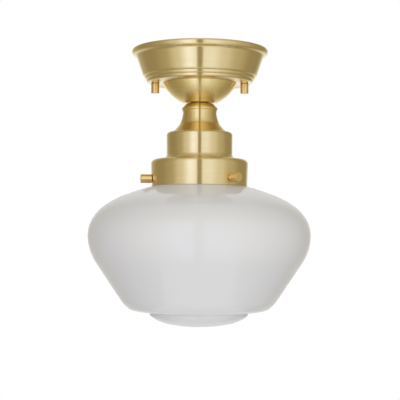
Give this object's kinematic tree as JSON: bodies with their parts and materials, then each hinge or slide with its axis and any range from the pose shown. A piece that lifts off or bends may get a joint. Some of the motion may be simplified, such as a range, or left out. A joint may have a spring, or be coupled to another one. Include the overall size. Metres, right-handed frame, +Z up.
{
  "type": "semi flush ceiling light",
  "caption": "Semi flush ceiling light: brass canopy, neck and stepped shade holder over a lipped opal glass shade held by thumbscrews.",
  "frame": {"origin": "centre of the ceiling plane: the top face of the box strap, between its two slots", "axes": "+Z up into the ceiling, the light hangs along -Z; the canopy nuts lie on the X axis, the box screws on the Y axis; the picture looks along +Y"},
  "size_m": [0.244, 0.244, 0.3066],
  "materials": {
    "satin_brass": "brushed satin",
    "fastener_brass": "polished",
    "contact_brass": "bright",
    "zinc_steel": "zinc plated",
    "green_steel": "green dyed",
    "porcelain": "glazed",
    "black_insulation": "satin",
    "white_insulation": "satin",
    "green_insulation": "satin",
    "connector_plastic": "moulded",
    "cap_insulator": "glassy",
    "bulb_glass": "frosted",
    "opal_glass": "cased opal, glossy"
  },
  "bodies": {
    "box_bar": {"box_strap": "zinc_steel", "swivel_eyelet": "zinc_steel"},
    "stud_bar": {"stud_strap": "zinc_steel", "canopy_studs": "zinc_steel", "stud_lock_nuts": "zinc_steel", "earth_screw": "green_steel"},
    "fixture": {"canopy": "satin_brass", "bowl": "satin_brass", "neck": "satin_brass", "shade_holder": "satin_brass", "thread_inserts": "fastener_brass", "threaded_tube": "zinc_steel", "canopy_tube_washer": "zinc_steel", "canopy_tube_nut": "zinc_steel", "holder_tube_washer": "zinc_steel", "holder_tube_nut": "zinc_steel", "socket_bracket": "zinc_steel", "bracket_screws": "zinc_steel", "porcelain_body": "porcelain", "screw_shell": "contact_brass", "centre_contact": "contact_brass", "terminal_plates": "contact_brass", "terminal_screws": "contact_brass", "black_lead": "black_insulation", "white_lead": "white_insulation", "earth_lug": "contact_brass", "earth_lead": "green_insulation", "wire_connectors": "connector_plastic"},
    "nut_left": {"cap_nut_left": "fastener_brass"},
    "nut_right": {"cap_nut_right": "fastener_brass"},
    "shade": {"glass_shade": "opal_glass"},
    "bulb": {"bulb_tip": "cap_insulator", "bulb_cap": "contact_brass", "bulb_glass": "bulb_glass"},
    "screw_front": {"thumbscrew_front": "fastener_brass"},
    "screw_left": {"thumbscrew_left": "fastener_brass"},
    "screw_back": {"thumbscrew_back": "fastener_brass"}
  },
  "joints": [
    {"name": "crossbar_swivel", "type": "hinge", "parent": "box_bar", "child": "stud_bar", "pos_m": [0, 0, -0.0031], "axis": [0, 0, 1], "range_deg": [-60, 60]},
    {"name": "canopy_lowering", "type": "slide", "parent": "stud_bar", "child": "fixture", "axis": [0, 0, -1], "range_m": [0, 0.006]},
    {"name": "cap_nut_left_unscrewing", "type": "slide", "parent": "stud_bar", "child": "nut_left", "axis": [0, 0, -1], "range_m": [0, 0.006]},
    {"name": "cap_nut_right_unscrewing", "type": "slide", "parent": "stud_bar", "child": "nut_right", "axis": [0, 0, -1], "range_m": [0, 0.006]},
    {"name": "shade_lowering", "type": "slide", "parent": "fixture", "child": "shade", "axis": [0, 0, -1], "range_m": [0, 0.024]},
    {"name": "bulb_unscrewing", "type": "hinge", "parent": "fixture", "child": "bulb", "pos_m": [0, 0, -0.14], "axis": [0, 0, -1], "range_deg": [0, 1080]},
    {"name": "thumbscrew_front_backing_off", "type": "slide", "parent": "fixture", "child": "screw_front", "axis": [0.6428, -0.766, 0], "range_m": [0, 0.0036]},
    {"name": "thumbscrew_left_backing_off", "type": "slide", "parent": "fixture", "child": "screw_left", "axis": [-0.9848, -0.1736, 0], "range_m": [0, 0.0036]},
    {"name": "thumbscrew_back_backing_off", "type": "slide", "parent": "fixture", "child": "screw_back", "axis": [0.342, 0.9397, 0], "range_m": [0, 0.0036]}
  ],
  "couplings": [
    {"joint": "cap_nut_left_unscrewing", "follows": "canopy_lowering", "ratio": 1},
    {"joint": "cap_nut_right_unscrewing", "follows": "canopy_lowering", "ratio": 1},
    {"joint": "thumbscrew_front_backing_off", "follows": "shade_lowering", "ratio": 0.15},
    {"joint": "thumbscrew_left_backing_off", "follows": "shade_lowering", "ratio": 0.15},
    {"joint": "thumbscrew_back_backing_off", "follows": "shade_lowering", "ratio": 0.15}
  ]
}
